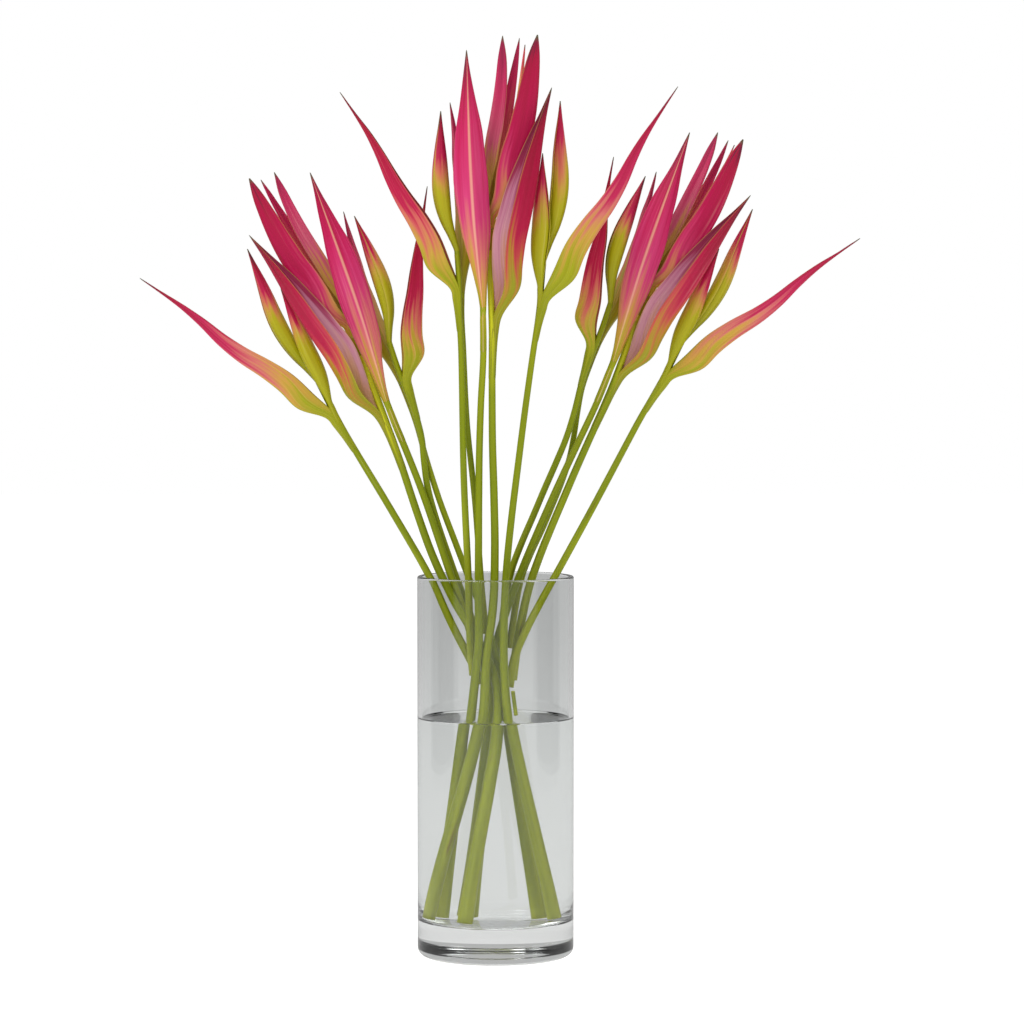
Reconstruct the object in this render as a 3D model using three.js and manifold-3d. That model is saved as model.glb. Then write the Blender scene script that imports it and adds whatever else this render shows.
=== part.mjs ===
// Heliconia in a glass cylinder vase: three sprays of five cut stems each, with their bracts and buds.
// Millimetres, +Z up, +X to the right and +Y away from the front. The origin is the middle of the vase's foot.
import * as THREE from "three";
import { mergeVertices } from "three/addons/utils/BufferGeometryUtils.js";
import Module from "manifold-3d";

const wasm = await Module();
wasm.setup();

// ---- Driving dimensions ----
const VASE_RADIUS = 51;
const VASE_HEIGHT = 248;
const GLASS_WALL = 3;
const GLASS_FLOOR = 23;
const FOOT_ROUNDING = 6;
const INNER_FILLET = 7;
const RIM_ROUNDING = 1.3;
const WATER_LEVEL = 155;
const GAP = 0.35; // left between pieces that touch
const ROUND_SIDES = 48; // facets round the vase and the water
const SIDES = 8; // facets round a stem or a bract
const STEM_ROWS = 13;
const BRACT_ROWS = 9;
const STALK_RADIUS = 1.9;
const TIP_RADIUS = 0.3;
const BRACT_THICKNESS = 1.2;

// A stem's radius falls from the cut foot to the head: [height, radius] pairs.
const STEM_TAPER = [
  [GLASS_FLOOR, 4.7],
  [60, 3.9],
  [WATER_LEVEL, 3.1],
  [VASE_HEIGHT, 2.5],
  [420, 2.0],
];

// ---- Finishes ----
const finish = (color, roughness, extra = {}) =>
  new THREE.MeshStandardMaterial({ color, roughness, metalness: 0, ...extra });
const GLASS = finish(0xe9f0ec, 0.03, { transparent: true, opacity: 0.3 });
const WATER = finish(0xf4f8f8, 0.02, { transparent: true, opacity: 0.25 });
const STEM_GREEN = finish(0x8a9a10, 0.5);
const BRACT_PINK = finish(0xd81b56, 0.45);
const BUD_GREEN = finish(0xb9b51c, 0.45);

// ---- Geometry helpers ----

// Piecewise straight-line reading of a list of [position, value] pairs.
function readTable(pairs, position) {
  const next = pairs.findIndex(([p]) => p >= position);
  if (next === 0) return pairs[0][1];
  if (next < 0) return pairs.at(-1)[1];
  const [p0, v0] = pairs[next - 1];
  const [p1, v1] = pairs[next];
  return THREE.MathUtils.mapLinear(position, p0, p1, v0, v1);
}

// Axes at a point of a curve. The keel direction starts towards the front and turns by `facing`
// degrees towards the right-hand side of the way the curve grows.
function axesAt(curve, t, facing = 0) {
  const along = curve.getTangentAt(t);
  const front = new THREE.Vector3(0, -1, 0);
  front.addScaledVector(along, -front.dot(along)).normalize();
  const right = new THREE.Vector3().crossVectors(along, front);
  const angle = THREE.MathUtils.degToRad(facing);
  const keel = front.multiplyScalar(Math.cos(angle)).addScaledVector(right, Math.sin(angle));
  const side = new THREE.Vector3().crossVectors(along, keel);
  return { side, keel };
}

// Lays a unit cylinder along a curve. section(t, across, out) says how far its skin lies to the
// side and towards the keel, where across and out are the sine and cosine of the blank's angle.
function layAlong(points, rows, facingAt, section) {
  const curve = new THREE.CatmullRomCurve3(points, false, "centripetal");
  const blank = new THREE.CylinderGeometry(1, 1, 1, SIDES, rows);
  const place = blank.attributes.position;
  const corner = new THREE.Vector3();
  for (let i = 0; i < place.count; i++) {
    corner.fromBufferAttribute(place, i);
    const t = THREE.MathUtils.clamp(corner.y + 0.5, 0, 1);
    const { side, keel } = axesAt(curve, t, facingAt(t));
    const onAxis = Math.hypot(corner.x, corner.z) < 0.5;
    const [sideways, outwards] = onAxis ? middle(section, t) : section(t, corner.x, corner.z);
    const skin = curve.getPointAt(t).addScaledVector(side, sideways);
    skin.addScaledVector(keel, outwards);
    place.setXYZ(i, skin.x, skin.y, skin.z);
  }
  blank.deleteAttribute("normal");
  blank.deleteAttribute("uv");
  return mergeVertices(blank, 1e-4);
}

// Where a section's end cap has its middle: halfway between the keel and the lips' side.
function middle(section, t) {
  const keel = section(t, 0, 1);
  const inside = section(t, 0, -1);
  return [0, (keel[1] + inside[1]) / 2];
}

function solidOf(geometry) {
  return new wasm.Manifold(
    new wasm.Mesh({
      numProp: 3,
      vertProperties: new Float32Array(geometry.attributes.position.array),
      triVerts: new Uint32Array(geometry.index.array),
    }),
  );
}

function geometryOf(solid) {
  const mesh = solid.getMesh();
  const geometry = new THREE.BufferGeometry();
  geometry.setAttribute("position", new THREE.BufferAttribute(mesh.vertProperties, 3));
  return geometry.setIndex(new THREE.BufferAttribute(mesh.triVerts, 1));
}

const arrangement = new THREE.Group();
function add(name, geometry, material) {
  const mesh = new THREE.Mesh(geometry, material);
  mesh.name = name;
  arrangement.add(mesh);
}

// Turns a profile of [radius, height] points about the vertical axis.
function turned(profile) {
  const points = profile.map(([radius, height]) => new THREE.Vector2(radius, height));
  const geometry = new THREE.LatheGeometry(points, ROUND_SIDES).rotateX(Math.PI / 2);
  geometry.deleteAttribute("normal");
  geometry.deleteAttribute("uv");
  return mergeVertices(geometry, 1e-4);
}

// Points of a quarter round about a centre, from one angle to another, in degrees.
function quarter(centre, radius, from, to, steps) {
  return Array.from({ length: steps + 1 }, (_, i) => {
    const angle = THREE.MathUtils.degToRad(THREE.MathUtils.lerp(from, to, i / steps));
    return [centre[0] + radius * Math.cos(angle), centre[1] + radius * Math.sin(angle)];
  });
}

// ---- Vase: a drawn cylinder with a thick solid foot and a fire-polished rim ----
const BORE = VASE_RADIUS - GLASS_WALL;
const vaseProfile = [
  [0, 0],
  ...quarter([VASE_RADIUS - FOOT_ROUNDING, FOOT_ROUNDING], FOOT_ROUNDING, -90, 0, 3),
  ...quarter([VASE_RADIUS - RIM_ROUNDING, VASE_HEIGHT - RIM_ROUNDING], RIM_ROUNDING, 0, 90, 2),
  ...quarter([BORE + RIM_ROUNDING, VASE_HEIGHT - RIM_ROUNDING], RIM_ROUNDING, 90, 180, 2),
  ...quarter([BORE - INNER_FILLET, GLASS_FLOOR + INNER_FILLET], INNER_FILLET, 0, -90, 3),
  [0, GLASS_FLOOR],
];
add("glass_vase", turned(vaseProfile), GLASS);

// ---- Sprays: where each stands, how far it leans and which hand it is ----
// A spray's own axes: u to the right, v up its middle stem and w away from the front.
const SPRAYS = {
  left: { crown: [-69.5, 25, 348], lean: 22, size: 0.95, hand: -1 },
  middle: { crown: [-4.7, -30, 409], lean: 0, size: 0.99, hand: 1 },
  right: { crown: [75, 25, 374], lean: 22, size: 0.95, hand: 1 },
};

function inSpray({ crown, lean, size, hand }, [u, v, w]) {
  const angle = THREE.MathUtils.degToRad(lean);
  const across = u * Math.cos(angle) + v * Math.sin(angle);
  const up = v * Math.cos(angle) - u * Math.sin(angle);
  return new THREE.Vector3(
    crown[0] + hand * size * across,
    crown[1] + size * w,
    crown[2] + size * up,
  );
}

// The top of each stem, in its spray's own axes.
const HEADS = {
  bud: [[-17.5, -12, 0], [-18.6, 10, 0.5], [-18.8, 30, 1], [-20, 50, 1]],
  shade: [[-16, -12, 6], [-17, 8, 7], [-17, 23, 8]],
  banner: [[-2.9, -14, -1], [-2.8, 0, -2], [-3.2, 13.5, -4]],
  crown: [[2.7, -14, 0], [2.6, 0, 0], [1.6, 30, 0], [0, 65, 0]],
  outer: [[29.5, -14, 9], [31.5, 0, 9.5], [34, 18, 10], [34.8, 32, 10], [36, 44, 10]],
};

// The lower course of each stem, from its cut foot up: [x, y, z]. Six stand on the glass floor, and the
// shorter ones are held in the bundle above the water.
const COURSES = {
  left: {
    bud: [[-8, 16, 196], [-17, 16, 222], [-26, 17, 246], [-44, 20, 302]],
    shade: [[21, 4, 24.6], [6, 0.5, 150], [3, 1, 178], [-2, 4, 205], [-18, 14, 247], [-41, 24, 308]],
    banner: [[-10.5, 10, 190], [-19, 9.5, 218], [-28, 9, 244], [-48, 16, 302]],
    crown: [[-18, -30, 24.9], [1, -13, 150], [0.5, -9, 178], [-11, -4, 205], [-34, 7, 244], [-54, 14, 296]],
    outer: [[-9, 5, 178], [-16, 3, 192], [-29.5, 3, 218], [-42, 6, 245], [-72, 18, 296]],
  },
  middle: {
    bud: [[-14.5, -6.5, 184], [-16, -9, 201], [-17.5, -13, 246], [-20.3, -22, 311]],
    shade: [[-6.5, -5, 211], [-9.5, -8, 246], [-13, -13, 295], [-18.2, -20, 347]],
    banner: [[-26, 10, 24.8], [-16, -10.5, 157], [-11, -16, 201], [-11, -18, 246], [-10, -24, 343]],
    crown: [[-38, -10, 24.8], [-8, -14.5, 157], [-6.5, -14, 190], [-1, -15, 236], [-0.5, -18, 279], [-2, -24, 343]],
    outer: [[31.5, -7, 24.8], [9, -14, 150], [5.8, -15, 180], [6.6, -17, 246], [16.5, -23, 336]],
  },
  right: {
    bud: [[2, 17, 196], [9.4, 17, 247], [25.8, 19, 289], [48.8, 23, 344]],
    shade: [[9, 14, 200], [17.3, 15, 247], [33, 22, 283], [48, 28, 322]],
    banner: [[-12, 21, 24.8], [-3, 9, 150], [-2.5, 10, 180], [1, 11, 205], [14.6, 6, 245], [37.6, 13, 299]],
    crown: [[11, 3, 180], [15, 3, 208], [23, 4, 244], [48.8, 15, 308]],
    outer: [[9, -5, 176], [12, -4, 194], [22.4, -2, 218], [36.8, 2, 244], [61.8, 10, 289]],
  },
};

// How thick each stem is against the common taper.
const GIRTH = { bud: 0.92, shade: 0.85, banner: 0.98, crown: 1.05, outer: 0.95 };

const stemRadius = (role, height) => GIRTH[role] * readTable(STEM_TAPER, height);

function stemCourse(side, role) {
  const low = COURSES[side][role].map((p) => new THREE.Vector3(...p));
  const head = HEADS[role].map((p) => inSpray(SPRAYS[side], p));
  return [...low, ...head];
}

// A round tapered stem, or the hole that it leaves in the water when it is grown by `extra`.
function stemTube(side, role, rows, extra = 0) {
  const points = stemCourse(side, role);
  const curve = new THREE.CatmullRomCurve3(points, false, "centripetal");
  return layAlong(points, rows, () => 0, (t, across, out) => {
    const radius = stemRadius(role, curve.getPointAt(t).z) + extra;
    return [across * radius, out * radius];
  });
}

for (const side of Object.keys(SPRAYS))
  for (const role of Object.keys(HEADS))
    add(`${side}_${role}_stem`, stemTube(side, role, STEM_ROWS), STEM_GREEN);

// ---- Water: fills the bore up to its level, with a hole for every stem that stands in it ----
const waterRadius = BORE - GAP;
const waterFloor = GLASS_FLOOR + GAP;
let water = solidOf(
  turned([
    [0, waterFloor],
    ...quarter([waterRadius - INNER_FILLET, waterFloor + INNER_FILLET], INNER_FILLET, -90, 0, 3),
    [waterRadius, WATER_LEVEL],
    [0, WATER_LEVEL],
  ]),
);
for (const side of Object.keys(SPRAYS))
  for (const role of Object.keys(HEADS))
    if (COURSES[side][role][0][2] < WATER_LEVEL) {
      const hole = solidOf(stemTube(side, role, STEM_ROWS, GAP));
      water = water.subtract(hole).subtract(hole.translate(0, 0, -2 * GAP));
    }
add("water", geometryOf(water), WATER);

// ---- Bracts and buds, in their spray's own axes ----
// wide: half the distance between the lips. deep: from the lips' plane to the keel. peak: where along its
// length it is widest. rise and fall: below 1 is blunt and above 1 drawn out, before and after the peak.
// facing: which way the keel looks, in degrees from the front towards the right. twist: how far that turns
// by the tip. closed: a bud, rolled round.
const BRACTS = {
  wing_bract: {
    spine: [[-23.2, 27, -1], [-31, 46, -3], [-44, 67, -5], [-58.5, 90, -6], [-74, 120, -6], [-95.6, 152, -4]],
    wide: 3.6, deep: 12, peak: 0.22, rise: 0.7, fall: 1.8, facing: -98, twist: 0,
  },
  slim_bud: {
    spine: [[-20.2, 50.8, 1], [-23.2, 59, 0], [-28, 73, -1], [-30.7, 91, -1], [-31, 113, 0], [-30.5, 140, 1]],
    wide: 4.6, deep: 4, peak: 0.46, rise: 1.5, fall: 1.2, facing: 0, twist: 0, closed: true,
  },
  shade_bract: {
    spine: [[-17, 24, 8.2], [-15.5, 45, 9], [-16, 70, 9], [-18, 95, 8], [-21.5, 122, 6], [-24.7, 146, 5]],
    wide: 6, deep: 5, peak: 0.3, rise: 0.6, fall: 1.3, facing: -20, twist: 0,
  },
  banner_bract: {
    spine: [[-3.2, 14.3, -4], [-6, 40, -8], [-9, 70, -11], [-11, 100, -12], [-12.5, 135, -11], [-13.7, 179, -7]],
    wide: 10, deep: 4.6, peak: 0.5, rise: 0.7, fall: 1.4, facing: -6, twist: 12,
  },
  boat_bract: {
    spine: [[7.9, 9, -2.5], [10.6, 28, -7.5], [14.5, 50, -12], [19.5, 73, -14.5], [24, 92, -15.5],
      [29, 112, -15], [34, 131, -13], [41.3, 154.7, -9]],
    wide: 8.5, deep: 18.5, peak: 0.38, rise: 0.65, fall: 1.3, facing: 124, twist: -14,
  },
  helm_bract: {
    spine: [[5, 74.5, -2], [11, 95, -5], [18.5, 116, -5.5], [23.5, 136, -5], [27, 156, -4], [29.5, 173, -3],
      [32.5, 189, -2]],
    wide: 4, deep: 14.5, peak: 0.38, rise: 0.5, fall: 0.62, facing: 82, twist: 0,
  },
  slip_bract: {
    spine: [[2, 70, 6.5], [5.5, 95, 12], [10, 120, 14], [13.8, 144, 14], [17.5, 167, 13], [20.5, 188, 12]],
    wide: 2, deep: 6, peak: 0.5, rise: 0.7, fall: 0.8, facing: 60, twist: 0,
  },
  crest_bract: {
    spine: [[-0.3, 66, 0], [-0.3, 90, 4.6], [2.6, 118, 6], [6.6, 141, 6], [8.8, 164, 5.4], [9.4, 189, 4.4]],
    wide: 3, deep: 8, peak: 0.5, rise: 0.55, fall: 0.5, facing: -84, twist: 0,
  },
  floret: {
    spine: [[7, 82, 3.2], [12.4, 105, 4.4], [17.4, 130, 5], [20.9, 155, 5], [24, 183, 5]],
    wide: 1.1, deep: 1, peak: 0.6, rise: 0.8, fall: 0.8, facing: 70, twist: 0, closed: true, stalk: 1.1,
  },
  sweep_bract: {
    spine: [[39.2, 20, 8], [46.6, 36.5, 6.5], [58, 55, 5.5], [73, 74.5, 4.5], [83.5, 90, 3.5], [99, 120, 2], [123, 156, 1]],
    wide: 3.8, deep: 12, peak: 0.22, rise: 0.7, fall: 1.8, facing: 88, twist: 0,
  },
  stout_bud: {
    spine: [[33.6, 28.5, 4.4], [32.9, 46, 2.4], [34.2, 65, 2.4], [34.6, 85, 3.4], [35.4, 113, 4.5]],
    wide: 4.7, deep: 3.8, peak: 0.42, rise: 1, fall: 1.2, facing: 0, twist: 0, closed: true,
  },
  spur_bud: {
    spine: [[36.3, 44.8, 10], [39, 54, 10], [43.6, 70, 9], [46.8, 93, 8.5], [46.6, 120, 8.5], [46.8, 147, 9]],
    wide: 4.6, deep: 4, peak: 0.46, rise: 1.5, fall: 1.2, facing: 0, twist: 0, closed: true,
  },
};

// The right spray's wing stands more upright, and the left one's is shorter. Both side sprays' inner bracts
// lean back towards the middle of the bunch.
const OWN_SPINES = {
  left: {
    helm_bract: [[5, 74.5, -2], [10.6, 95, -5], [17.3, 116, -5.5], [21.5, 136, -5], [24, 156, -4],
      [25.5, 174, -3], [27.2, 191, -2]],
    wing_bract: [[-24, 24, -1.5], [-33, 45, -4], [-47, 70, -6], [-63, 102, -6], [-85, 140, -5]],
  },
  right: {
    helm_bract: [[5, 74.5, -2], [10.2, 95, -5], [16.1, 116, -5.5], [19.5, 136, -5], [21, 156, -4],
      [21.5, 173, -3], [22.7, 188.5, -2]],
    slip_bract: [[2, 70, 6.5], [5, 95, 12], [8.8, 120, 14], [11.4, 144, 14], [13.2, 167, 13], [13.6, 185, 12]],
    crest_bract: [[-0.3, 66, 0], [-0.6, 90, 4.6], [1.4, 118, 6], [3.2, 141, 6], [4.4, 164, 5.4], [4.4, 187, 4.4]],
    floret: [[7, 82, 3.2], [11.6, 105, 4.4], [15.2, 130, 5], [17.2, 155, 5], [18.4, 183, 5]],
    wing_bract: [[-24, 20, -1.5], [-31, 41, -4.5], [-39, 64, -6], [-43, 87, -6], [-50, 116, -6], [-56, 144, -5]],
  },
};

const SHARP_FOLD = 1.5; // 1 folds to a sharp keel, 2 rounds it
const OPENS = [0.06, 0.3]; // the share of its length over which a bract opens from its round stalk

// How full a bract is at a place along it: 0 at both ends and 1 at its peak.
function swellAt({ peak, rise, fall }, t) {
  if (t < peak) return Math.sin((Math.PI / 2) * (t / peak)) ** rise;
  return Math.max(0, Math.cos(((Math.PI / 2) * (t - peak)) / (1 - peak))) ** fall;
}

function bractGeometry(spray, form, spine, size) {
  const points = spine.map((p) => inSpray(spray, p));
  const stalk = (form.stalk ?? STALK_RADIUS) * size;
  const facingAt = (t) => spray.hand * (form.facing + form.twist * t);
  return layAlong(points, BRACT_ROWS, facingAt, (t, across, out) => {
    const swell = swellAt(form, t);
    const bare = THREE.MathUtils.lerp(stalk, TIP_RADIUS, t);
    const wide = bare + size * form.wide * swell;
    const deep = bare + size * form.deep * swell;
    const opened = form.closed ? 0 : THREE.MathUtils.smoothstep(t, ...OPENS);
    const fold = deep * (1 - Math.abs(across) ** SHARP_FOLD) - deep / 2;
    const skin = out < 0 ? fold + BRACT_THICKNESS * out : fold;
    return [across * wide, THREE.MathUtils.lerp(out * deep, skin, opened)];
  });
}

for (const [side, spray] of Object.entries(SPRAYS))
  for (const [name, form] of Object.entries(BRACTS)) {
    const spine = OWN_SPINES[side]?.[name] ?? form.spine;
    const material = form.closed ? BUD_GREEN : BRACT_PINK;
    add(`${side}_${name}`, bractGeometry(spray, form, spine, spray.size), material);
  }

// ---- A cut leaf sheath that still clasps the middle spray's outer stem, just above the water ----
const SHEATH_COURSE = [[13.2, -14.4, 158.5], [12.2, -14.8, 166], [11.2, -15.4, 174]];
const SHEATH_RADIUS = 1.3;
add(
  "cut_leaf_sheath",
  layAlong(
    SHEATH_COURSE.map((p) => new THREE.Vector3(...p)),
    2,
    () => 0,
    (t, across, out) => [across * SHEATH_RADIUS, out * SHEATH_RADIUS],
  ),
  STEM_GREEN,
);

export default arrangement;
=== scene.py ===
"""Cut heliconia in a clear glass cylinder of water: three sprays of stems, with their bracts and buds."""

import math

import bmesh
import bpy
import numpy as np
from mathutils import Matrix, Vector


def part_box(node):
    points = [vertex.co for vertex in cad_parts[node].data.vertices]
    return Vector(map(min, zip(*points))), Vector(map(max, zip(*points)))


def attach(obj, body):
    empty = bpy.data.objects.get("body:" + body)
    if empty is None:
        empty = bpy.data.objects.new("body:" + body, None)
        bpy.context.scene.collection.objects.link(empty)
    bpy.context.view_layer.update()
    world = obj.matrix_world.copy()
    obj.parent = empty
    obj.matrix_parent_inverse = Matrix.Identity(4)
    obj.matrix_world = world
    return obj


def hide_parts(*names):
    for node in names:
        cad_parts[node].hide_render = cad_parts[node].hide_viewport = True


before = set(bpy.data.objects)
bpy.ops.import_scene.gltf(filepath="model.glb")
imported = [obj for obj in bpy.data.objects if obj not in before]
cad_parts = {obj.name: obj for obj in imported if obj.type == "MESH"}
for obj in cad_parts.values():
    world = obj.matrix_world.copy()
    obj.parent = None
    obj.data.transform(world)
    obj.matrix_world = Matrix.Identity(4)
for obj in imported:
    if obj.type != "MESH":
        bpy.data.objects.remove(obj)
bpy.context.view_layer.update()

# ---- Glass vase ----
# A drawn cylinder of clear glass with a thick solid foot. The foot's edge is rounded in the mould, and the
# rim is cut and then melted smooth. Inside, the wall meets the floor in a soft round.
WATER_FIT = 0.00035  # the frame keeps the water this far from the glass
FOOT_ROUND = 0.006
FLOOR_ROUND = 0.0068
RIM_ROUND = 0.0013

vase_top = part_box("glass_vase")[1].z
vase_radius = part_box("glass_vase")[1].x
bore_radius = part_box("water")[1].x + WATER_FIT
glass_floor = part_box("water")[0].z - WATER_FIT


def pick_edges(piece, chosen):
    """Selects the edges whose two ends both pass the test, in edit mode."""
    shape = bmesh.from_edit_mesh(piece.data)
    for part in (*shape.verts, *shape.edges, *shape.faces):
        part.select = False
    for edge in shape.edges:
        edge.select = all(chosen(end.co) for end in edge.verts)
    shape.select_flush_mode()
    bmesh.update_edit_mesh(piece.data)


def pick_face(piece, height, reach):
    """Selects the flat faces that lie wholly at a height and inside a radius, in edit mode."""
    shape = bmesh.from_edit_mesh(piece.data)
    for part in (*shape.verts, *shape.edges, *shape.faces):
        part.select = False
    for face in shape.faces:
        if all(abs(v.co.z - height) < 1e-5 and math.hypot(v.co.x, v.co.y) < reach for v in face.verts):
            face.select_set(True)
    bmesh.update_edit_mesh(piece.data)


def start_drum(name, radius, low, high):
    """Adds an upright drum and opens it for shaping, with its place already in its mesh."""
    bpy.ops.object.select_all(action="DESELECT")
    bpy.ops.mesh.primitive_cylinder_add(
        vertices=192, radius=radius, depth=high - low, location=(0, 0, (low + high) / 2)
    )
    drum = bpy.context.object
    drum.name = name
    bpy.ops.object.transform_apply(location=True, rotation=True, scale=True)
    bpy.ops.object.mode_set(mode="EDIT")
    bpy.ops.mesh.select_mode(type="EDGE")
    return drum


def finish_smooth(piece, angle=40):
    """Leaves edit mode and shades the piece smooth, with its flat faces kept flat to the eye."""
    bpy.ops.object.mode_set(mode="OBJECT")
    bpy.ops.object.shade_smooth_by_angle(angle=math.radians(angle))
    bpy.ops.object.modifier_add(type="WEIGHTED_NORMAL")
    bpy.ops.object.modifier_apply(modifier=piece.modifiers[-1].name)


vase = start_drum("clear_vase", vase_radius, 0, vase_top)
pick_face(vase, vase_top, vase_radius + 0.001)
bpy.ops.mesh.inset(thickness=vase_radius - bore_radius)
bpy.ops.mesh.extrude_region_move(TRANSFORM_OT_translate={"value": (0, 0, glass_floor - vase_top)})
pick_edges(vase, lambda p: p.z < 1e-5 and p.xy.length > vase_radius - 1e-4)
bpy.ops.mesh.bevel(offset=FOOT_ROUND, segments=10, affect="EDGES")
pick_edges(vase, lambda p: abs(p.z - glass_floor) < 1e-5 and p.xy.length > bore_radius - 1e-4)
bpy.ops.mesh.bevel(offset=FLOOR_ROUND, segments=10, affect="EDGES")
pick_edges(vase, lambda p: abs(p.z - vase_top) < 1e-5)
bpy.ops.mesh.bevel(offset=RIM_ROUND, segments=5, affect="EDGES")
finish_smooth(vase)


def new_finish(name):
    """A material with its shader at hand: returns the material, its nodes, its links and the shader."""
    material = bpy.data.materials.new(name)
    material.use_nodes = True
    tree = material.node_tree
    return material, tree.nodes, tree.links, tree.nodes["Principled BSDF"]


def glass_finish():
    """Clear glass with the faintest grey-green, and a trace of uneven polish."""
    material, nodes, links, shader = new_finish("vase_glass")
    shader.inputs["Transmission Weight"].default_value = 1.0
    shader.inputs["IOR"].default_value = 1.5
    place = nodes.new("ShaderNodeTexCoord")
    tint = nodes.new("ShaderNodeTexNoise")
    tint.inputs["Scale"].default_value = 9.0
    ramp = nodes.new("ShaderNodeValToRGB")
    ramp.color_ramp.elements[0].color = (0.96, 0.975, 0.97, 1)
    ramp.color_ramp.elements[1].color = (0.98, 0.99, 0.985, 1)
    polish = nodes.new("ShaderNodeMapRange")
    polish.inputs["To Min"].default_value = 0.0
    polish.inputs["To Max"].default_value = 0.012
    links.new(place.outputs["Object"], tint.inputs["Vector"])
    links.new(tint.outputs["Fac"], ramp.inputs["Fac"])
    links.new(ramp.outputs["Color"], shader.inputs["Base Color"])
    links.new(tint.outputs["Fac"], polish.inputs["Value"])
    links.new(polish.outputs["Result"], shader.inputs["Roughness"])
    return material


vase.data.materials.append(glass_finish())
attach(vase, "root")
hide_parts("glass_vase")
vase.visible_shadow = False  # the lamps shine through it

# ---- Water ----
# Tap water, a little over half way up. It wets the glass, so its edge climbs the wall in a narrow curve.
# It reaches a hair into the glass, so that no film of air shows between the two.
WETTING = 0.0002
CREEP_HEIGHT = 0.0012
CREEP_WIDTH = 0.0030

water_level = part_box("water")[1].z
water_radius = bore_radius + WETTING
water = start_drum("still_water", water_radius, glass_floor - WETTING, water_level + CREEP_HEIGHT)
pick_face(water, water_level + CREEP_HEIGHT, water_radius + 0.001)
bpy.ops.mesh.inset(thickness=CREEP_WIDTH * 0.35)
bpy.ops.transform.translate(value=(0, 0, -CREEP_HEIGHT * 0.62))
bpy.ops.mesh.inset(thickness=CREEP_WIDTH * 0.65)
bpy.ops.transform.translate(value=(0, 0, -CREEP_HEIGHT * 0.38))
bpy.ops.mesh.inset(thickness=water_radius * 0.3)
pick_edges(water, lambda p: p.z < glass_floor and p.xy.length > water_radius - 1e-4)
bpy.ops.mesh.bevel(offset=FLOOR_ROUND, segments=10, affect="EDGES")
finish_smooth(water, angle=60)


def water_finish():
    """Clear water, faintly green from the stems."""
    material, nodes, links, shader = new_finish("vase_water")
    shader.inputs["Transmission Weight"].default_value = 1.0
    shader.inputs["IOR"].default_value = 1.333
    shader.inputs["Roughness"].default_value = 0.0
    place = nodes.new("ShaderNodeTexCoord")
    cloud = nodes.new("ShaderNodeTexNoise")
    cloud.inputs["Scale"].default_value = 14.0
    ramp = nodes.new("ShaderNodeValToRGB")
    ramp.color_ramp.elements[0].color = (0.99, 0.998, 0.99, 1)
    ramp.color_ramp.elements[1].color = (0.998, 1.0, 0.998, 1)
    links.new(place.outputs["Object"], cloud.inputs["Vector"])
    links.new(cloud.outputs["Fac"], ramp.inputs["Fac"])
    links.new(ramp.outputs["Color"], shader.inputs["Base Color"])
    return material


water.data.materials.append(water_finish())
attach(water, "root")
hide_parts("water")
water.visible_shadow = False

# ---- Stems ----
# Fifteen green stems, thick at the cut foot and thin at the head. They are waxy and faintly ribbed, with
# sap-darkened cut ends. Six stand on the glass floor, and the rest are held in the bundle above the water.
SIDES = 8  # the frame's stems and bracts have this many sides
STEM_AROUND = 20
STEM_ALONG = 72
SPRAYS = ("left", "middle", "right")
STEMS = ("bud_stem", "shade_stem", "banner_stem", "crown_stem", "outer_stem")


def rings_of(node):
    """The rings of points round a stem or bract of the frame, from its thick end to its thin one."""
    shape = bmesh.new()
    shape.from_mesh(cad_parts[node].data)
    bmesh.ops.remove_doubles(shape, verts=shape.verts, dist=1e-5)
    caps = [v for v in shape.verts if len(v.link_edges) == SIDES]
    foot = max(caps, key=lambda cap: sum(e.calc_length() for e in cap.link_edges))
    seen = {foot}
    front = [foot]
    rings = []
    while True:
        ahead = {e.other_vert(v) for v in front for e in v.link_edges} - seen
        if len(ahead) != SIDES:
            break
        front = [min(ahead, key=lambda v: v.co[:])]
        while len(front) < SIDES:
            beside = [e.other_vert(front[-1]) for e in front[-1].link_edges]
            front.append(min((v for v in beside if v in ahead and v not in front), key=lambda v: v.co[:]))
        seen |= ahead
        ring = np.array([v.co[:] for v in front])
        if rings:
            turns = [np.roll(way, k, axis=0) for way in (ring, ring[::-1]) for k in range(SIDES)]
            ring = min(turns, key=lambda turn: float(((turn - rings[-1]) ** 2).sum()))
        rings.append(ring)
    shape.free()
    return np.array(rings)


def read_smooth(rows, at):
    """Reads rows of points at fractional places, by a smooth curve through all of them."""
    last = len(rows) - 1
    padded = np.concatenate([[2 * rows[0] - rows[1]], rows, [2 * rows[-1] - rows[-2]]])
    at = np.clip(at, 0, last)
    start = np.minimum(at.astype(int), last - 1)
    f = (at - start).reshape(-1, *[1] * (rows.ndim - 1))
    a, b, c, d = (padded[start + k] for k in range(4))
    return b + f / 2 * (c - a + f * (2 * a - 5 * b + 4 * c - d + f * (3 * (b - c) + d - a)))


def read_round(ring_rows, turn):
    """Reads each row's closed ring at its own turn, from 0 to 1."""
    at = (turn % 1) * ring_rows.shape[1]
    start = at.astype(int)
    f = (at - start)[:, None]
    pick = np.arange(len(ring_rows))
    a, b, c, d = (ring_rows[pick, (start + k) % ring_rows.shape[1]] for k in (-1, 0, 1, 2))
    return b + f / 2 * (c - a + f * (2 * a - 5 * b + 4 * c - d + f * (3 * (b - c) + d - a)))


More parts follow.
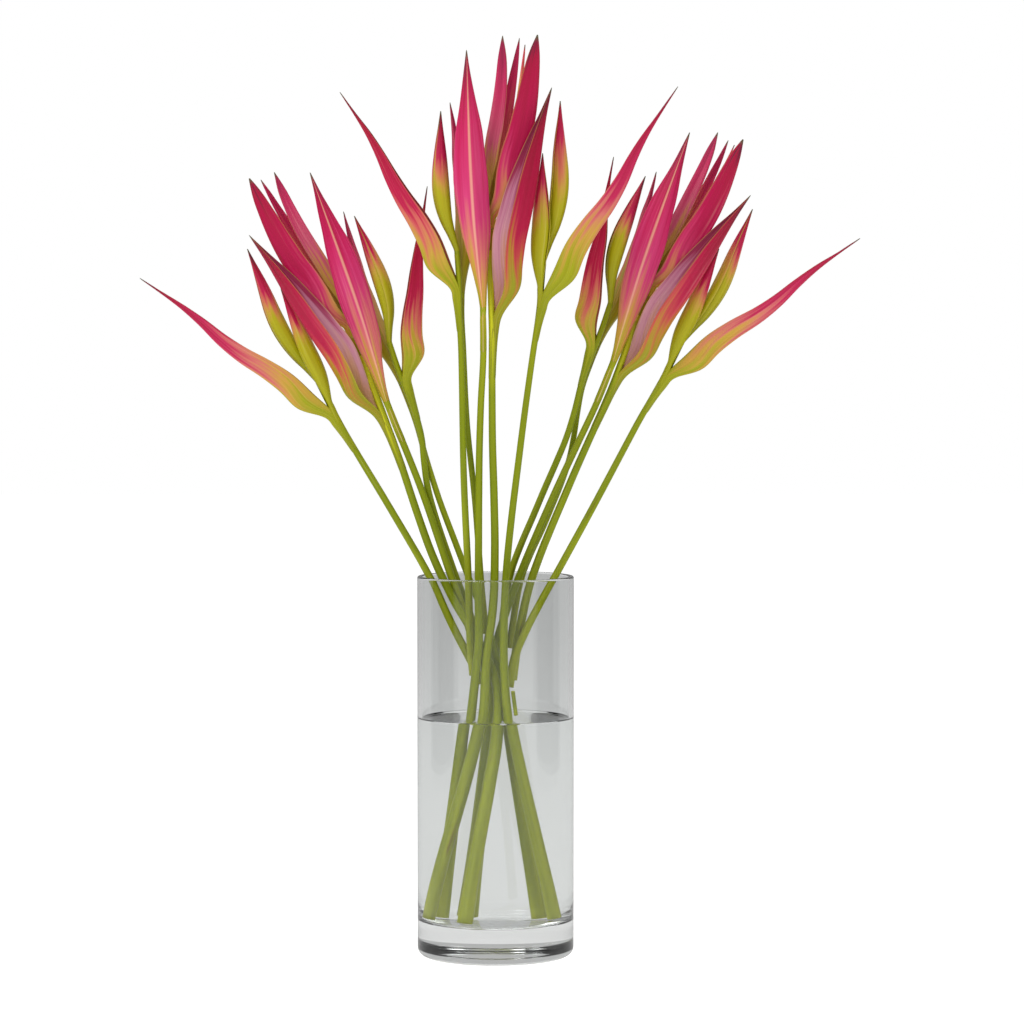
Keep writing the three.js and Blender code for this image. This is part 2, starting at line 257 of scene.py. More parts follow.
def read_across(chain_rows, across):
    """Reads each row's open chain of points at its own share across, from 0 to 1."""
    last = chain_rows.shape[1] - 1
    ends = [2 * chain_rows[:, :1] - chain_rows[:, 1:2], 2 * chain_rows[:, -1:] - chain_rows[:, -2:-1]]
    padded = np.concatenate([ends[0], chain_rows, ends[1]], axis=1)
    at = np.clip(across, 0, 1) * last
    start = np.minimum(at.astype(int), last - 1)
    f = (at - start)[:, None]
    pick = np.arange(len(chain_rows))
    a, b, c, d = (padded[pick, start + k] for k in range(4))
    return b + f / 2 * (c - a + f * (2 * a - 5 * b + 4 * c - d + f * (3 * (b - c) + d - a)))


def lay_blank(name, across, along, shape):
    """Adds a flat leaf blank, and lays each of its points at shape(u, v): u goes across and v along."""
    bpy.ops.object.select_all(action="DESELECT")
    bpy.ops.mesh.primitive_grid_add(x_subdivisions=across, y_subdivisions=along, size=1)
    piece = bpy.context.object
    piece.name = name
    flat = np.empty(len(piece.data.vertices) * 3)
    piece.data.vertices.foreach_get("co", flat)
    flat = flat.reshape(-1, 3) + 0.5
    laid = shape(flat[:, 0], flat[:, 1])
    piece.data.vertices.foreach_set("co", laid.ravel())
    piece.data.update()
    return piece


def close_seams(piece):
    """Joins the edges of a rolled blank, and points its faces outwards."""
    bpy.ops.object.mode_set(mode="EDIT")
    bpy.ops.mesh.select_all(action="SELECT")
    bpy.ops.mesh.remove_doubles(threshold=2e-6)
    bpy.ops.mesh.normals_make_consistent(inside=False)
    bpy.ops.object.mode_set(mode="OBJECT")
    bpy.ops.object.shade_smooth()


def stem_shape(rings):
    """Rolls a blank into the stem: its first and last rows close the cut ends."""
    span = len(rings) - 1

    def shape(u, v):
        row = np.rint(v * STEM_ALONG)
        along = np.clip((row - 3) / (STEM_ALONG - 6), 0, 1)
        here = read_smooth(rings, along * span)
        middle = here.mean(axis=1)
        skin = read_round(here, u)
        from_end = np.minimum(row, STEM_ALONG - row)
        spread = np.choose(np.minimum(from_end, 3).astype(int), [0.0, 0.55, 0.9, 1.0])
        lean = read_smooth(rings, np.minimum(along * span + 0.01, span)).mean(axis=1)
        lean -= read_smooth(rings, along * span - 0.01).mean(axis=1)
        lean /= np.linalg.norm(lean, axis=1)[:, None] + 1e-12
        sunk = np.choose(np.minimum(from_end, 3).astype(int), [0.0003, 0.0, -0.0002, 0.0])
        sunk = np.where(row < STEM_ALONG / 2, sunk, -sunk)
        return middle + (skin - middle) * spread[:, None] + lean * sunk[:, None]

    return shape


def colour(code):
    """A colour written as on a paint card, as the shader reads it."""
    parts = [int(code[i : i + 2], 16) / 255 for i in (1, 3, 5)]
    return (*[p / 12.92 if p <= 0.04045 else ((p + 0.055) / 1.055) ** 2.4 for p in parts], 1)


def fibre_group():
    """Long fibres that run up a stem or bract. Fine is for relief, and Broad for streaks of colour."""
    group = bpy.data.node_groups.new("plant_fibres", "ShaderNodeTree")
    for name in ("Along", "Streaks", "Seed"):
        group.interface.new_socket(name, in_out="INPUT", socket_type="NodeSocketFloat")
    for name in ("Fine", "Broad", "Mottle"):
        group.interface.new_socket(name, in_out="OUTPUT", socket_type="NodeSocketFloat")
    nodes, links = group.nodes, group.links
    given = nodes.new("NodeGroupInput")
    result = nodes.new("NodeGroupOutput")
    uv = nodes.new("ShaderNodeUVMap")
    parts = nodes.new("ShaderNodeSeparateXYZ")
    links.new(uv.outputs["UV"], parts.inputs["Vector"])
    for name, stretch, detail in (("Fine", 3.0, 3.0), ("Broad", 1.0, 2.0), ("Mottle", 0.35, 4.0)):
        across = nodes.new("ShaderNodeMath")
        across.operation = "MULTIPLY"
        thinner = nodes.new("ShaderNodeMath")
        thinner.operation = "MULTIPLY"
        thinner.inputs[1].default_value = stretch
        along = nodes.new("ShaderNodeMath")
        along.operation = "MULTIPLY"
        joined = nodes.new("ShaderNodeCombineXYZ")
        noise = nodes.new("ShaderNodeTexNoise")
        noise.inputs["Scale"].default_value = 1.0
        noise.inputs["Detail"].default_value = detail
        links.new(parts.outputs["X"], across.inputs[0])
        links.new(given.outputs["Streaks"], thinner.inputs[0])
        links.new(thinner.outputs[0], across.inputs[1])
        links.new(parts.outputs["Y"], along.inputs[0])
        links.new(given.outputs["Along"], along.inputs[1])
        links.new(across.outputs[0], joined.inputs["X"])
        links.new(along.outputs[0], joined.inputs["Y"])
        links.new(given.outputs["Seed"], joined.inputs["Z"])
        links.new(joined.outputs["Vector"], noise.inputs["Vector"])
        links.new(noise.outputs["Fac"], result.inputs[name])
    return group


FIBRES = fibre_group()


def add_fibres(nodes, streaks, along, seed):
    """Places the fibres in a finish, with this many streaks across and runs along."""
    fibres = nodes.new("ShaderNodeGroup")
    fibres.node_tree = FIBRES
    fibres.inputs["Streaks"].default_value = streaks
    fibres.inputs["Along"].default_value = along
    fibres.inputs["Seed"].default_value = seed
    return fibres


def mix_colours(nodes, links, factor, first, second, blend="MIX"):
    """Mixes two colours: each may be a socket or a colour, and factor a socket or a number."""
    mix = nodes.new("ShaderNodeMix")
    mix.data_type = "RGBA"
    mix.blend_type = blend
    for name, value in (("Factor", factor), ("A", first), ("B", second)):
        socket = next(s for s in mix.inputs if s.name == name and s.enabled)
        if hasattr(value, "links"):
            links.new(value, socket)
        else:
            socket.default_value = value
    return next(s for s in mix.outputs if s.enabled)


def remap(nodes, links, source, low, high, to_low=0.0, to_high=1.0):
    """Stretches a reading between two limits, smoothly."""
    node = nodes.new("ShaderNodeMapRange")
    node.interpolation_type = "SMOOTHSTEP"
    node.inputs["From Min"].default_value = low
    node.inputs["From Max"].default_value = high
    node.inputs["To Min"].default_value = to_low
    node.inputs["To Max"].default_value = to_high
    links.new(source, node.inputs["Value"])
    return node.outputs["Result"]


def add_relief(nodes, links, shader, height, strength, distance):
    """Raises the surface by a height."""
    bump = nodes.new("ShaderNodeBump")
    bump.inputs["Strength"].default_value = strength
    bump.inputs["Distance"].default_value = distance
    links.new(height, bump.inputs["Height"])
    links.new(bump.outputs["Normal"], shader.inputs["Normal"])


def stem_finish(seed, bright_head=False):
    """Waxy yellow-green, brighter at both ends, with darker fibres and a few brown scars."""
    material, nodes, links, shader = new_finish(f"stem_green_{seed}")
    fibres = add_fibres(nodes, 7, 5, seed * 3.7)
    uv = nodes.new("ShaderNodeUVMap")
    parts = nodes.new("ShaderNodeSeparateXYZ")
    links.new(uv.outputs["UV"], parts.inputs["Vector"])
    length = nodes.new("ShaderNodeValToRGB")
    length.color_ramp.elements[0].color = colour("#A2A81E")
    length.color_ramp.elements[1].color = colour("#DCD42C" if bright_head else "#9A9E10")
    length.color_ramp.elements.new(0.55).color = colour("#7E8A04")
    length.color_ramp.elements.new(0.74).color = colour("#828C08")
    if bright_head:
        length.color_ramp.elements.new(0.82).color = colour("#BEBC1C")
    links.new(parts.outputs["Y"], length.inputs["Fac"])
    streak = remap(nodes, links, fibres.outputs["Broad"], 0.35, 0.7, 0.0, 0.5)
    streaked = mix_colours(nodes, links, streak, length.outputs["Color"], colour("#667408"))
    scar = remap(nodes, links, fibres.outputs["Mottle"], 0.66, 0.74, 0.0, 0.7)
    scarred = mix_colours(nodes, links, scar, streaked, colour("#6E5418"))
    end = remap(nodes, links, parts.outputs["Y"], 0.026, 0.034, 1.0, 0.0)
    cut = mix_colours(nodes, links, end, scarred, colour("#B9AE6A"))
    links.new(cut, shader.inputs["Base Color"])
    rough = remap(nodes, links, fibres.outputs["Broad"], 0.3, 0.7, 0.3, 0.48)
    links.new(rough, shader.inputs["Roughness"])
    shader.inputs["Specular IOR Level"].default_value = 0.2
    add_relief(nodes, links, shader, fibres.outputs["Fine"], 0.35, 0.0006)
    return material


stem_finishes = [stem_finish(seed) for seed in range(1, 4)]
flower_stalk_finish = stem_finish(4, bright_head=True)
stem_rings = {}
for count, spray in enumerate(SPRAYS):
    for place, role in enumerate(STEMS):
        node = f"{spray}_{role}"
        stem_rings[node] = rings_of(node)
        stem = lay_blank(f"green_{node}", STEM_AROUND, STEM_ALONG, stem_shape(stem_rings[node]))
        close_seams(stem)
        finish = flower_stalk_finish if role == "crown_stem" else stem_finishes[(count + place) % 3]
        stem.data.materials.append(finish)
        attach(stem, "root")
        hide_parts(node)

# ---- Open bracts ----
# Waxy bracts folded like a boat, one for each branch of the flower. The green base clasps the stem, and
# the blade runs through peach and pink to a crimson tip. The boat bract is mauve inside, and the others
# crimson inside, painted dark as the shade that falls inside the fold.
BRACT_ACROSS = 20
BRACT_ALONG = 46
BRACT_WALL = 0.0011
LIP_WALL = 0.3  # of the wall
COLLAR_DROPS = (0.020, 0.0135, 0.0065)  # the clasping base starts this far down the stem
LONG_DROPS = {
    "wing_bract": (0.030, 0.019, 0.009),
    "sweep_bract": (0.030, 0.019, 0.009),
    "boat_bract": (0.042, 0.027, 0.012),
    "banner_bract": (0.030, 0.019, 0.008),
}
COLLAR_FLARE = (0.0, 0.14, 0.45)  # and has left the stem by this much
COLLAR_WRAP = (150, 140, 125)  # degrees to each side of the keel
LIP_HOLD = (1.0, 0.62, 0.24, 0.06)  # how far the first rows' lips are drawn back to the stem
COLLAR_LIFT = 0.00022
RIB_HEIGHT = 0.00045
CARRIER = {
    "wing_bract": "bud_stem",
    "slim_bud": "bud_stem",
    "shade_bract": "shade_stem",
    "banner_bract": "banner_stem",
    "boat_bract": "crown_stem",
    "helm_bract": "crown_stem",
    "slip_bract": "crown_stem",
    "crest_bract": "crown_stem",
    "floret": "crown_stem",
    "sweep_bract": "outer_stem",
    "stout_bud": "outer_stem",
    "spur_bud": "outer_stem",
}


def unit(vector):
    return vector / (np.linalg.norm(vector) + 1e-12)


def square_to(vector, axis):
    """The part of a direction that is square to an axis, one unit long."""
    return unit(vector - axis * (vector @ axis))


class Axis:
    """The middle line of a stem, read by how far a point lies along it."""

    def __init__(self, rings):
        fine = np.linspace(0, len(rings) - 1, 600)
        around = read_smooth(rings, fine)
        self.line = around.mean(axis=1)
        self.radii = np.linalg.norm(around - self.line[:, None], axis=2).mean(axis=1)
        steps = np.linalg.norm(np.diff(self.line, axis=0), axis=1)
        self.run = np.concatenate([[0], np.cumsum(steps)])

    def nearest(self, point):
        """How far along the line its nearest place to a point is, with a straight run past its head."""
        index = int(np.argmin(np.linalg.norm(self.line - point, axis=1)))
        past = (point - self.line[index]) @ self.way(self.run[index]) if index > 590 else 0.0
        return self.run[index] + max(past, 0.0)

    def at(self, run):
        place = np.array([np.interp(run, self.run, self.line[:, k]) for k in range(3)])
        return place + self.way(run) * max(run - self.run[-1], 0.0)

    def way(self, run):
        index = int(np.clip(np.searchsorted(self.run, run), 4, len(self.run) - 5))
        return unit(self.line[index + 4] - self.line[index - 4])

    def radius(self, run):
        return float(np.interp(run, self.run, self.radii))


def outer_chain(rings):
    """Five points across the outside of a folded bract, row by row: lip, side, keel, side, lip."""
    half = len(rings) // 2
    opened = rings[half]
    keel = min(range(4), key=lambda k: np.linalg.norm(opened[k] - opened[k + 4]))
    lips = (opened[keel + 2] + opened[(keel + 6) % SIDES]) / 2
    if np.linalg.norm(opened[keel] - lips) < np.linalg.norm(opened[keel + 4] - lips):
        keel += 4
    chain = rings[:, [(keel + step) % SIDES for step in (-2, -1, 0, 1, 2)]]
    sideways = chain[half, 4] - chain[half, 0]
    onwards = chain[half + 1, 2] - chain[half - 1, 2]
    outwards = chain[half, 2] - (chain[half, 0] + chain[half, 4]) / 2
    return chain if np.cross(sideways, onwards) @ outwards > 0 else chain[:, ::-1]


def clasped_chain(rings, axis, drops):
    """The bract's rows with its clasping base added below, and its first lips drawn round the stem."""
    chain = outer_chain(rings).copy()
    middle = rings[0].mean(axis=0)
    start = axis.nearest(middle)
    keel_way = chain[0, 2] - middle
    lip_way = chain[0, 4] - chain[0, 0]
    stands_off = np.linalg.norm(chain[0, 2] - axis.at(start)) - axis.radius(start)
    base = []
    for drop, flare, wrap in zip(drops, COLLAR_FLARE, COLLAR_WRAP):
        run = start - drop
        way = axis.way(run)
        keel = square_to(keel_way, way)
        side = square_to(lip_way - keel * (lip_way @ keel), way)
        row = []
        for place in (-1, -0.5, 0, 0.5, 1):
            turn = math.radians(place * wrap)
            reach = axis.radius(run) + COLLAR_LIFT
            out = stands_off * flare * (1 - abs(place)) ** 0.7
            row.append(axis.at(run) + reach * (math.cos(turn) * keel + math.sin(turn) * side) + out * keel)
        base.append(row)
    for row, hold in enumerate(LIP_HOLD):
        run = axis.nearest(chain[row].mean(axis=0))
        way = axis.way(run)
        keel = square_to(keel_way, way)
        side = square_to(lip_way - keel * (lip_way @ keel), way)
        reach = (axis.radius(run) + COLLAR_LIFT) * (1 if run <= axis.run[-1] else 1.1)
        for lip, hand in ((0, -1), (4, 1)):
            held = axis.at(run) + reach * (math.cos(1.9) * keel + hand * math.sin(1.9) * side)
            apart = np.linalg.norm(held - chain[row, lip])
            pull = (held - chain[row, lip]) * hold * math.exp(-((apart / 0.016) ** 2))
            chain[row, lip] += pull
            chain[row, 1 if lip == 0 else 3] += pull * 0.35
    return np.concatenate([np.array(base), chain])


def bract_shape(chain, seed):
    """Lays the blank on the rows, with a raised midrib and gently waved lips."""
    span = len(chain) - 1

    def shape(u, v):
        rows = read_smooth(chain, v * span)
        skin = read_across(rows, u)
        outwards = rows[:, 2] - (rows[:, 0] + rows[:, 4]) / 2
        depth = np.linalg.norm(outwards, axis=1)[:, None]
        outwards = outwards / (depth + 1e-9)
        sideways = rows[:, 4] - rows[:, 0]
        sideways /= np.linalg.norm(sideways, axis=1)[:, None] + 1e-9
        edge = np.abs(2 * u - 1)
        body = np.sin(np.pi * np.clip(v, 0, 1)) ** 0.5
        rib = np.exp(-(((u - 0.5) / 0.035) ** 2)) * RIB_HEIGHT * body
        wave = np.sin(v * 19 + seed * 2.1) + 0.6 * np.sin(v * 41 + seed + 3 * u)
        wave = wave * edge**5 * 0.0004 * body * np.clip((v - 0.25) * 5, 0, 1)
        return skin + outwards * rib[:, None] + sideways * wave[:, None]

    return shape


def give_wall(piece, wall, thin, inside_slot, levels):
    """Gives the laid sheet its wall, thinner at the lips and tip, then rounds it."""
    share = piece.vertex_groups.new(name="wall")
    uv = np.empty(len(piece.data.loops) * 2)
    piece.data.uv_layers[0].data.foreach_get("uv", uv)
    corner = np.empty(len(piece.data.loops), dtype=int)
    piece.data.loops.foreach_get("vertex_index", corner)
    for vertex, (u, v) in dict(zip(corner.tolist(), uv.reshape(-1, 2).tolist())).items():
        share.add([vertex], max(0.0, 1 - abs(2 * u - 1) ** 3) * min(1.0, 3.2 * (1 - v) + 0.1), "REPLACE")
    solid = piece.modifiers.new("wall", "SOLIDIFY")
    solid.thickness = wall
    solid.offset = -1
    solid.vertex_group = "wall"
    solid.thickness_vertex_group = thin
    solid.material_offset = inside_slot
    solid.use_even_offset = False
    bpy.ops.object.modifier_apply(modifier="wall")
    if levels:
        round_off = piece.modifiers.new("round", "SUBSURF")
        round_off.levels = round_off.render_levels = levels
        bpy.ops.object.modifier_apply(modifier="round")
    piece.vertex_groups.clear()
    bpy.ops.object.shade_smooth()


def leaf_finish(name, stops, rib, lip, seed, blur=0.2, shine=0.36):
    """A waxy bract: colours by their place from base to tip, run together by the fibres."""
    material, nodes, links, shader = new_finish(name)
    fibres = add_fibres(nodes, 9, 2.2, seed)
    uv = nodes.new("ShaderNodeUVMap")
    parts = nodes.new("ShaderNodeSeparateXYZ")
    links.new(uv.outputs["UV"], parts.inputs["Vector"])
    drift = remap(nodes, links, fibres.outputs["Broad"], 0.25, 0.75, -blur / 2, blur / 2)
    place = nodes.new("ShaderNodeMath")
    place.operation = "ADD"
    links.new(parts.outputs["Y"], place.inputs[0])
    links.new(drift, place.inputs[1])
    length = nodes.new("ShaderNodeValToRGB")
    ends = length.color_ramp.elements
    ends[0].position, ends[0].color = stops[0][0], colour(stops[0][1])
    ends[1].position, ends[1].color = stops[-1][0], colour(stops[-1][1])
    for where, code in stops[1:-1]:
        ends.new(where).color = colour(code)
    links.new(place.outputs[0], length.inputs["Fac"])
    vein = remap(nodes, links, fibres.outputs["Fine"], 0.4, 0.72, 0.0, 0.25)
    veined = mix_colours(nodes, links, vein, length.outputs["Color"], (0.6, 0.35, 0.4, 1), "MULTIPLY")
    pale = remap(nodes, links, fibres.outputs["Fine"], 0.42, 0.24, 0.0, 0.1)
    lit = mix_colours(nodes, links, pale, veined, colour("#F6C8B4"))
    across = nodes.new("ShaderNodeMath")
    across.operation = "SUBTRACT"
    across.inputs[1].default_value = 0.5
    links.new(parts.outputs["X"], across.inputs[0])
    from_rib = nodes.new("ShaderNodeMath")
    from_rib.operation = "ABSOLUTE"
    links.new(across.outputs[0], from_rib.inputs[0])
    on_rib = remap(nodes, links, from_rib.outputs[0], 0.045, 0.008, 0.0, rib)
    ribbed = mix_colours(nodes, links, on_rib, lit, colour("#F0C89A"))
    on_lip = remap(nodes, links, from_rib.outputs[0], 0.455, 0.495, 0.0, lip)
    lipped = mix_colours(nodes, links, on_lip, ribbed, colour("#B8A63A"))
    spot = remap(nodes, links, fibres.outputs["Mottle"], 0.68, 0.78, 0.0, 0.45)
    spotted = mix_colours(nodes, links, spot, lipped, colour("#7A3A2A"))
    dry = remap(nodes, links, parts.outputs["Y"], 0.965, 0.995, 0.0, 0.85)
    dried = mix_colours(nodes, links, dry, spotted, colour("#4E5638"))
    links.new(dried, shader.inputs["Base Color"])
    rough = remap(nodes, links, fibres.outputs["Broad"], 0.3, 0.7, shine - 0.05, shine + 0.12)
    links.new(rough, shader.inputs["Roughness"])
    shader.inputs["Specular IOR Level"].default_value = 0.25
    add_relief(nodes, links, shader, fibres.outputs["Fine"], 0.4, 0.0008)
    return material


MAUVE_STOPS = [
    (0.0, "#8C900C"), (0.2, "#B0982C"), (0.34, "#D09C80"), (0.44, "#D098A4"), (0.58, "#C47C98"),
    (0.72, "#98204C"), (1.0, "#780830"),
]
# The other bracts' crimson inside, painted darker than the outside as the shade that falls inside the fold.
SHADED_CRIMSON_INSIDE_STOPS = [(0.0, "#8A9010"), (0.3, "#A89030"), (0.42, "#9C3C38"), (0.56, "#780C28"), (1.0, "#54061C")]
BRACT_LOOKS = {
    "wing_bract": (
        [(0.0, "#7E8A06"), (0.28, "#9C9E08"), (0.38, "#C09838"), (0.48, "#CC6458"), (0.58, "#B81044"),
         (0.9, "#A0002C"), (1.0, "#6A1030")], 0.1, 0.2),
    "shade_bract": (
        [(0.0, "#7E8408"), (0.4, "#A4981C"), (0.56, "#C49448"), (0.68, "#D07468"), (0.82, "#C82C60"),
         (1.0, "#981440")], 0.15, 0.2),
    "banner_bract": (
        [(0.0, "#848C08"), (0.22, "#A09C0C"), (0.34, "#C4983C"), (0.44, "#D4706C"), (0.54, "#D03C74"),
         (0.76, "#C41858"), (0.92, "#AC0840"), (1.0, "#702038")], 0.45, 0.15),
    "boat_bract": (
        [(0.0, "#7A8408"), (0.3, "#94900A"), (0.42, "#B47C2C"), (0.5, "#C04444"), (0.6, "#B40840"),
         (0.9, "#98002C"), (1.0, "#5C1028")], 0.05, 0.3),
    "helm_bract": (
        [(0.0, "#A4A010"), (0.16, "#BCA428"), (0.3, "#CC7C50"), (0.42, "#C83064"), (0.56, "#B40448"),
         (0.92, "#A00034"), (1.0, "#6C1030")], 0.05, 0.3),
    "slip_bract": (
        [(0.0, "#90940C"), (0.35, "#AC9420"), (0.52, "#C88C40"), (0.66, "#D05458"), (0.8, "#C41C54"),
         (1.0, "#980C3C")], 0.05, 0.3),
    "crest_bract": (
        [(0.0, "#C8C418"), (0.34, "#C8B82C"), (0.48, "#D49850"), (0.62, "#D05874"), (0.84, "#C02458"),
         (1.0, "#901440")], 0.1, 0.3),
    "sweep_bract": (
        [(0.0, "#848C08"), (0.3, "#9C9E08"), (0.42, "#C4983C"), (0.54, "#CC6C64"), (0.66, "#BC1C50"),
         (0.92, "#A00030"), (1.0, "#5C1430")], 0.1, 0.2),
}

axes = {node: Axis(rings) for node, rings in stem_rings.items()}
mauve_finish = leaf_finish("bract_mauve_inside", MAUVE_STOPS, 0.25, 0.3, 4.2, blur=0.3, shine=0.5)
# The inside of every bract but the boat is crimson with the fold's shade painted in.
shaded_crimson_inside_finish = leaf_finish("bract_crimson_inside_painted_shade", SHADED_CRIMSON_INSIDE_STOPS, 0.1, 0.1, 7.7, shine=0.5)
for kind, (stops, rib, lip) in BRACT_LOOKS.items():
    for count, spray in enumerate(SPRAYS):
        node = f"{spray}_{kind}"
        seed = count * 5.3 + len(kind)
        drops = LONG_DROPS.get(kind, COLLAR_DROPS)
        chain = clasped_chain(rings_of(node), axes[f"{spray}_{CARRIER[kind]}"], drops)
        bract = lay_blank(f"waxy_{node}", BRACT_ACROSS, BRACT_ALONG, bract_shape(chain, seed))
        bract.data.materials.append(leaf_finish(f"waxy_{node}", stops, rib, lip, seed))
        bract.data.materials.append(mauve_finish if kind == "boat_bract" else shaded_crimson_inside_finish)
        give_wall(bract, BRACT_WALL, LIP_WALL, 1, 1)
        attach(bract, "root")
        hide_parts(node)

# ---- Buds ----
# Bracts that haven't opened, rolled round with one lip lapped over the other, and slim pale florets.
# The base is a fleshy branch of the stem.
BUD_AROUND = 34
BUD_ALONG = 60
BUD_WALL = 0.0005
BUD_TURN = 1.13  # how far round the roll goes
BUD_DROPS = (0.016, 0.0095, 0.004)
BUD_LEAVES = (0.0, 0.22, 0.62)  # how far the base has moved from the stem's middle to the bud's
BUD_STOPS = [
    (0.0, "#969808"), (0.3, "#A0A008"), (0.58, "#ACA410"), (0.66, "#C09838"), (0.73, "#C86C50"),
    (0.8, "#B81048"), (0.95, "#9C002C"), (1.0, "#5A1828"),
]
FLORET_STOPS = [(0.0, "#B4B41C"), (0.5, "#D4CC30"), (0.75, "#E0B060"), (0.88, "#DC5060"), (1.0, "#C01440")]


def budded_rings(rings, axis):
    """The bud's rings with a branching base added below, which starts inside the stem."""
    middle = rings[0].mean(axis=0)
    spokes = [unit(point - middle) for point in rings[0]]
    bud_radius = np.linalg.norm(rings[0] - middle, axis=1).mean()
    start = axis.nearest(middle)
    base = []
    for drop, leaves in zip(BUD_DROPS, BUD_LEAVES):
        run = start - drop
        off_axis = middle - axis.at(start)
        centre = axis.at(run) + off_axis * leaves
        radius = (axis.radius(run) - 0.0001) * (1 - leaves) + bud_radius * leaves
        base.append([centre + radius * square_to(spoke, axis.way(run)) for spoke in spokes])
    return np.concatenate([np.array(base), rings])


def bud_shape(rings, seam):
    """Rolls the blank round the rings, so that its outer lip laps over the start."""
    span = len(rings) - 1

    def shape(u, v):
        rows = read_smooth(rings, v * span)
        middle = rows.mean(axis=1)
        skin = read_round(rows, u * BUD_TURN + seam)
        lap = (u - 0.5) * 0.17 * np.clip((v - 0.2) * 6, 0, 1) * np.clip((1 - v) * 8, 0, 1)
        return middle + (skin - middle) * (1 + lap)[:, None]

    return shape


BUDS = {"slim_bud": 0.62, "stout_bud": 0.3, "spur_bud": 0.84, "floret": 0.1}
for kind, seam in BUDS.items():
    stops = FLORET_STOPS if kind == "floret" else BUD_STOPS
    for count, spray in enumerate(SPRAYS):
        node = f"{spray}_{kind}"
        rings = budded_rings(rings_of(node), axes[f"{spray}_{CARRIER[kind]}"])
        bud = lay_blank(f"rolled_{node}", BUD_AROUND, BUD_ALONG, bud_shape(rings, seam + count * 0.13))
        bud.data.materials.append(leaf_finish(f"rolled_{node}", stops, 0.0, 0.6, seam * 9 + count, blur=0.16))
        bpy.ops.object.mode_set(mode="EDIT")
        bpy.ops.mesh.select_all(action="SELECT")
        shell = bmesh.from_edit_mesh(bud.data)
        widest = max(shell.faces, key=lambda face: face.calc_area())
        spot = np.array(widest.calc_center_median())
        nearest = min(rings, key=lambda ring: np.linalg.norm(ring.mean(axis=0) - spot))
        if widest.normal.dot(Vector(spot - nearest.mean(axis=0))) < 0:
            bpy.ops.mesh.flip_normals()
        bpy.ops.object.mode_set(mode="OBJECT")
        give_wall(bud, BUD_WALL, 0.5, 0, 0)
        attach(bud, "root")
        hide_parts(node)

# ---- Cut leaf sheath ----
# The short stub that is left where a leaf was cut away, just above the water.
stub_rings = rings_of("cut_leaf_sheath")
stub = lay_blank("green_cut_leaf_sheath", STEM_AROUND, STEM_ALONG, stem_shape(stub_rings))
close_seams(stub)
stub.data.materials.append(stem_finishes[0])
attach(stub, "root")
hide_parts("cut_leaf_sheath")

# ---- Studio ----
# A white sweep lit from above and from the left, with two dark cards that only the glass and the gloss see.
FLOOR_SIZE = 14.0
FLOOR_DROP = 0.0004  # it lies just under the glass, so that the two never touch
FLOOR_GLOW = 0.66
GLOSSY_GLOW = 0.1  # the glow that the glass mirrors
DIFFUSE_SKY = 0.68  # the sky's strength as it lights the plants
GLOSSY_SKY = 0.45  # and as the glass mirrors it
CARD_AWAY = 1.1


def plain_finish(name, code, roughness):
    material, nodes, links, shader = new_finish(name)
    shader.inputs["Base Color"].default_value = colour(code)
    shader.inputs["Roughness"].default_value = roughness
    return material


bpy.ops.object.select_all(action="DESELECT")
bpy.ops.mesh.primitive_plane_add(size=FLOOR_SIZE)
floor = bpy.context.object
floor.name = "floor"
floor.data.transform(Matrix.Translation((0, 0, -FLOOR_DROP)))
sweep_finish = plain_finish("white_sweep", "#C4C4C4", 0.9)
sweep_nodes = sweep_finish.node_tree.nodes
sweep_shader = sweep_nodes["Principled BSDF"]
sweep_shader.inputs["Emission Color"].default_value = (1, 1, 1, 1)
sweep_shader.inputs["Specular IOR Level"].default_value = 0.1
sweep_ray = sweep_nodes.new("ShaderNodeLightPath")
sweep_links = sweep_finish.node_tree.links
seen_glossy = sweep_ray.outputs["Is Glossy Ray"]
sweep_glow = remap(sweep_nodes, sweep_links, seen_glossy, 0, 1, FLOOR_GLOW, GLOSSY_GLOW)
sweep_links.new(sweep_glow, sweep_shader.inputs["Emission Strength"])
floor.data.materials.append(sweep_finish)

card_finish = plain_finish("dark_card", "#101010", 1.0)
for hand in (-1, 1):
    bpy.ops.mesh.primitive_plane_add(size=1)
    card = bpy.context.object
    card.name = f"side_card_{'left' if hand < 0 else 'right'}"
    card.data.transform(
        Matrix.Translation((hand * CARD_AWAY, -0.1, 0.75))
        @ Matrix.Rotation(math.radians(90), 4, "Y")
        @ Matrix.Diagonal((1.5, 0.9, 1, 1))
    )
    card.data.materials.append(card_finish)
    card.visible_camera = False
    card.visible_diffuse = False
    card.visible_shadow = False

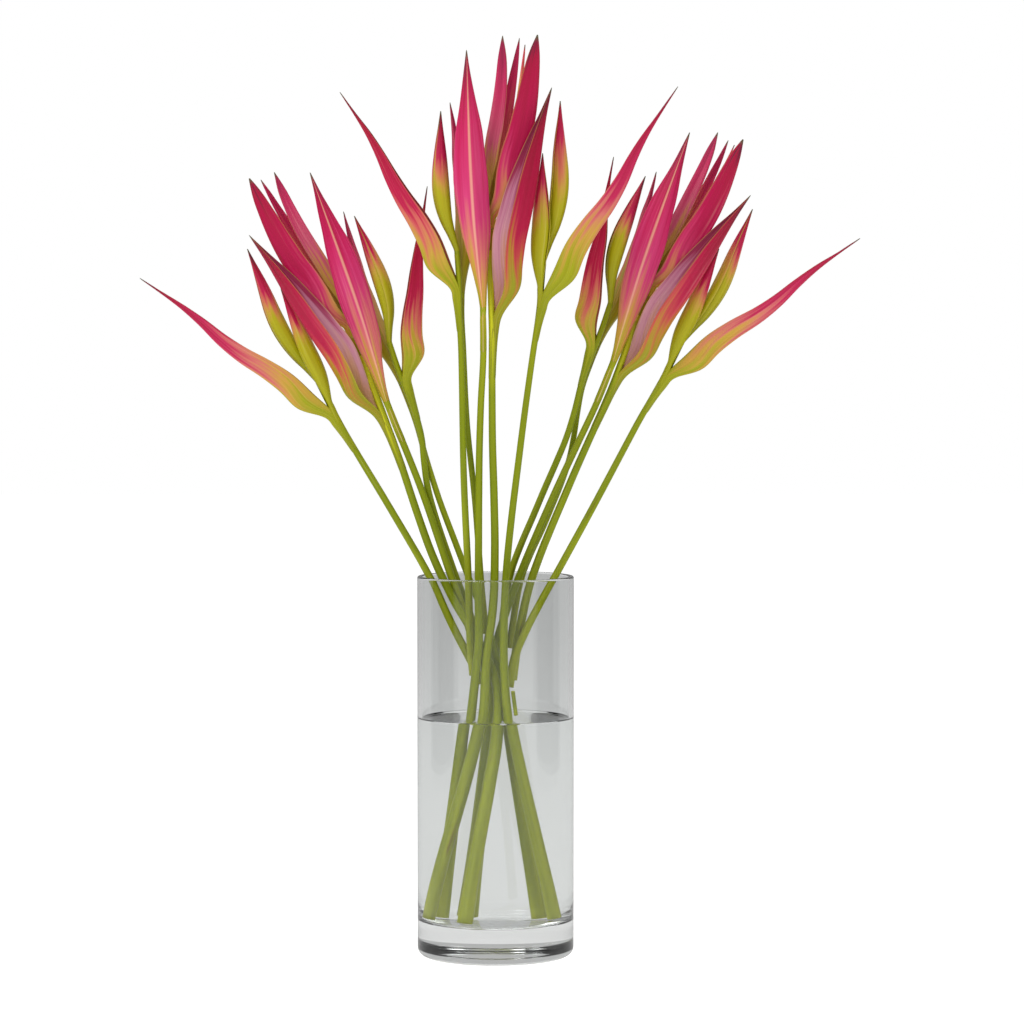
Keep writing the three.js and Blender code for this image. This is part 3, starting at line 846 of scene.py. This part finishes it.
world = bpy.data.worlds.new("studio")
bpy.context.scene.world = world
world.use_nodes = True
sky = world.node_tree.nodes["Background"]
sky.inputs["Color"].default_value = (1, 1, 1, 1)
path = world.node_tree.nodes.new("ShaderNodeLightPath")
on_plants = world.node_tree.nodes.new("ShaderNodeMix")
on_plants.inputs["A"].default_value = 1.0
on_plants.inputs["B"].default_value = DIFFUSE_SKY
in_gloss = world.node_tree.nodes.new("ShaderNodeMix")
in_gloss.inputs["B"].default_value = GLOSSY_SKY
world.node_tree.links.new(path.outputs["Is Diffuse Ray"], on_plants.inputs["Factor"])
world.node_tree.links.new(on_plants.outputs["Result"], in_gloss.inputs["A"])
world.node_tree.links.new(path.outputs["Is Glossy Ray"], in_gloss.inputs["Factor"])
world.node_tree.links.new(in_gloss.outputs["Result"], sky.inputs["Strength"])


def soft_box(name, place, target, size, power):
    light = bpy.data.lights.new(name, "AREA")
    light.shape = "RECTANGLE"
    light.size, light.size_y = size
    light.energy = power
    lamp = bpy.data.objects.new(name, light)
    bpy.context.collection.objects.link(lamp)
    lamp.location = place
    lamp.rotation_euler = (Vector(target) - Vector(place)).to_track_quat("-Z", "Y").to_euler()
    return lamp


heart = (0, 0, vase_top * 1.5)
soft_box("key", (-1.3, -1.5, 2.0), heart, (1.4, 1.4), 26)
soft_box("fill", (1.7, -1.3, 1.3), heart, (1.2, 1.6), 8)
soft_box("top", (0.1, 0.7, 2.1), heart, (1.6, 1.0), 12)

# ---- Camera ----
# A long lens a little above the rim, looking slightly down.
CAMERA_AWAY = 2.56
CAMERA_UP = 0.411
CAMERA_RIGHT = 0.0107
LOOKS_DOWN = 2.717
VIEW_ANGLE = 14.8

lens = bpy.data.cameras.new("camera")
lens.sensor_width = 36
lens.angle = math.radians(VIEW_ANGLE)
camera = bpy.data.objects.new("camera", lens)
bpy.context.collection.objects.link(camera)
camera.location = (CAMERA_RIGHT, -CAMERA_AWAY, CAMERA_UP)
camera.rotation_euler = (math.radians(90 - LOOKS_DOWN), 0, 0)
bpy.context.scene.camera = camera
bpy.context.scene.view_settings.view_transform = "Standard"
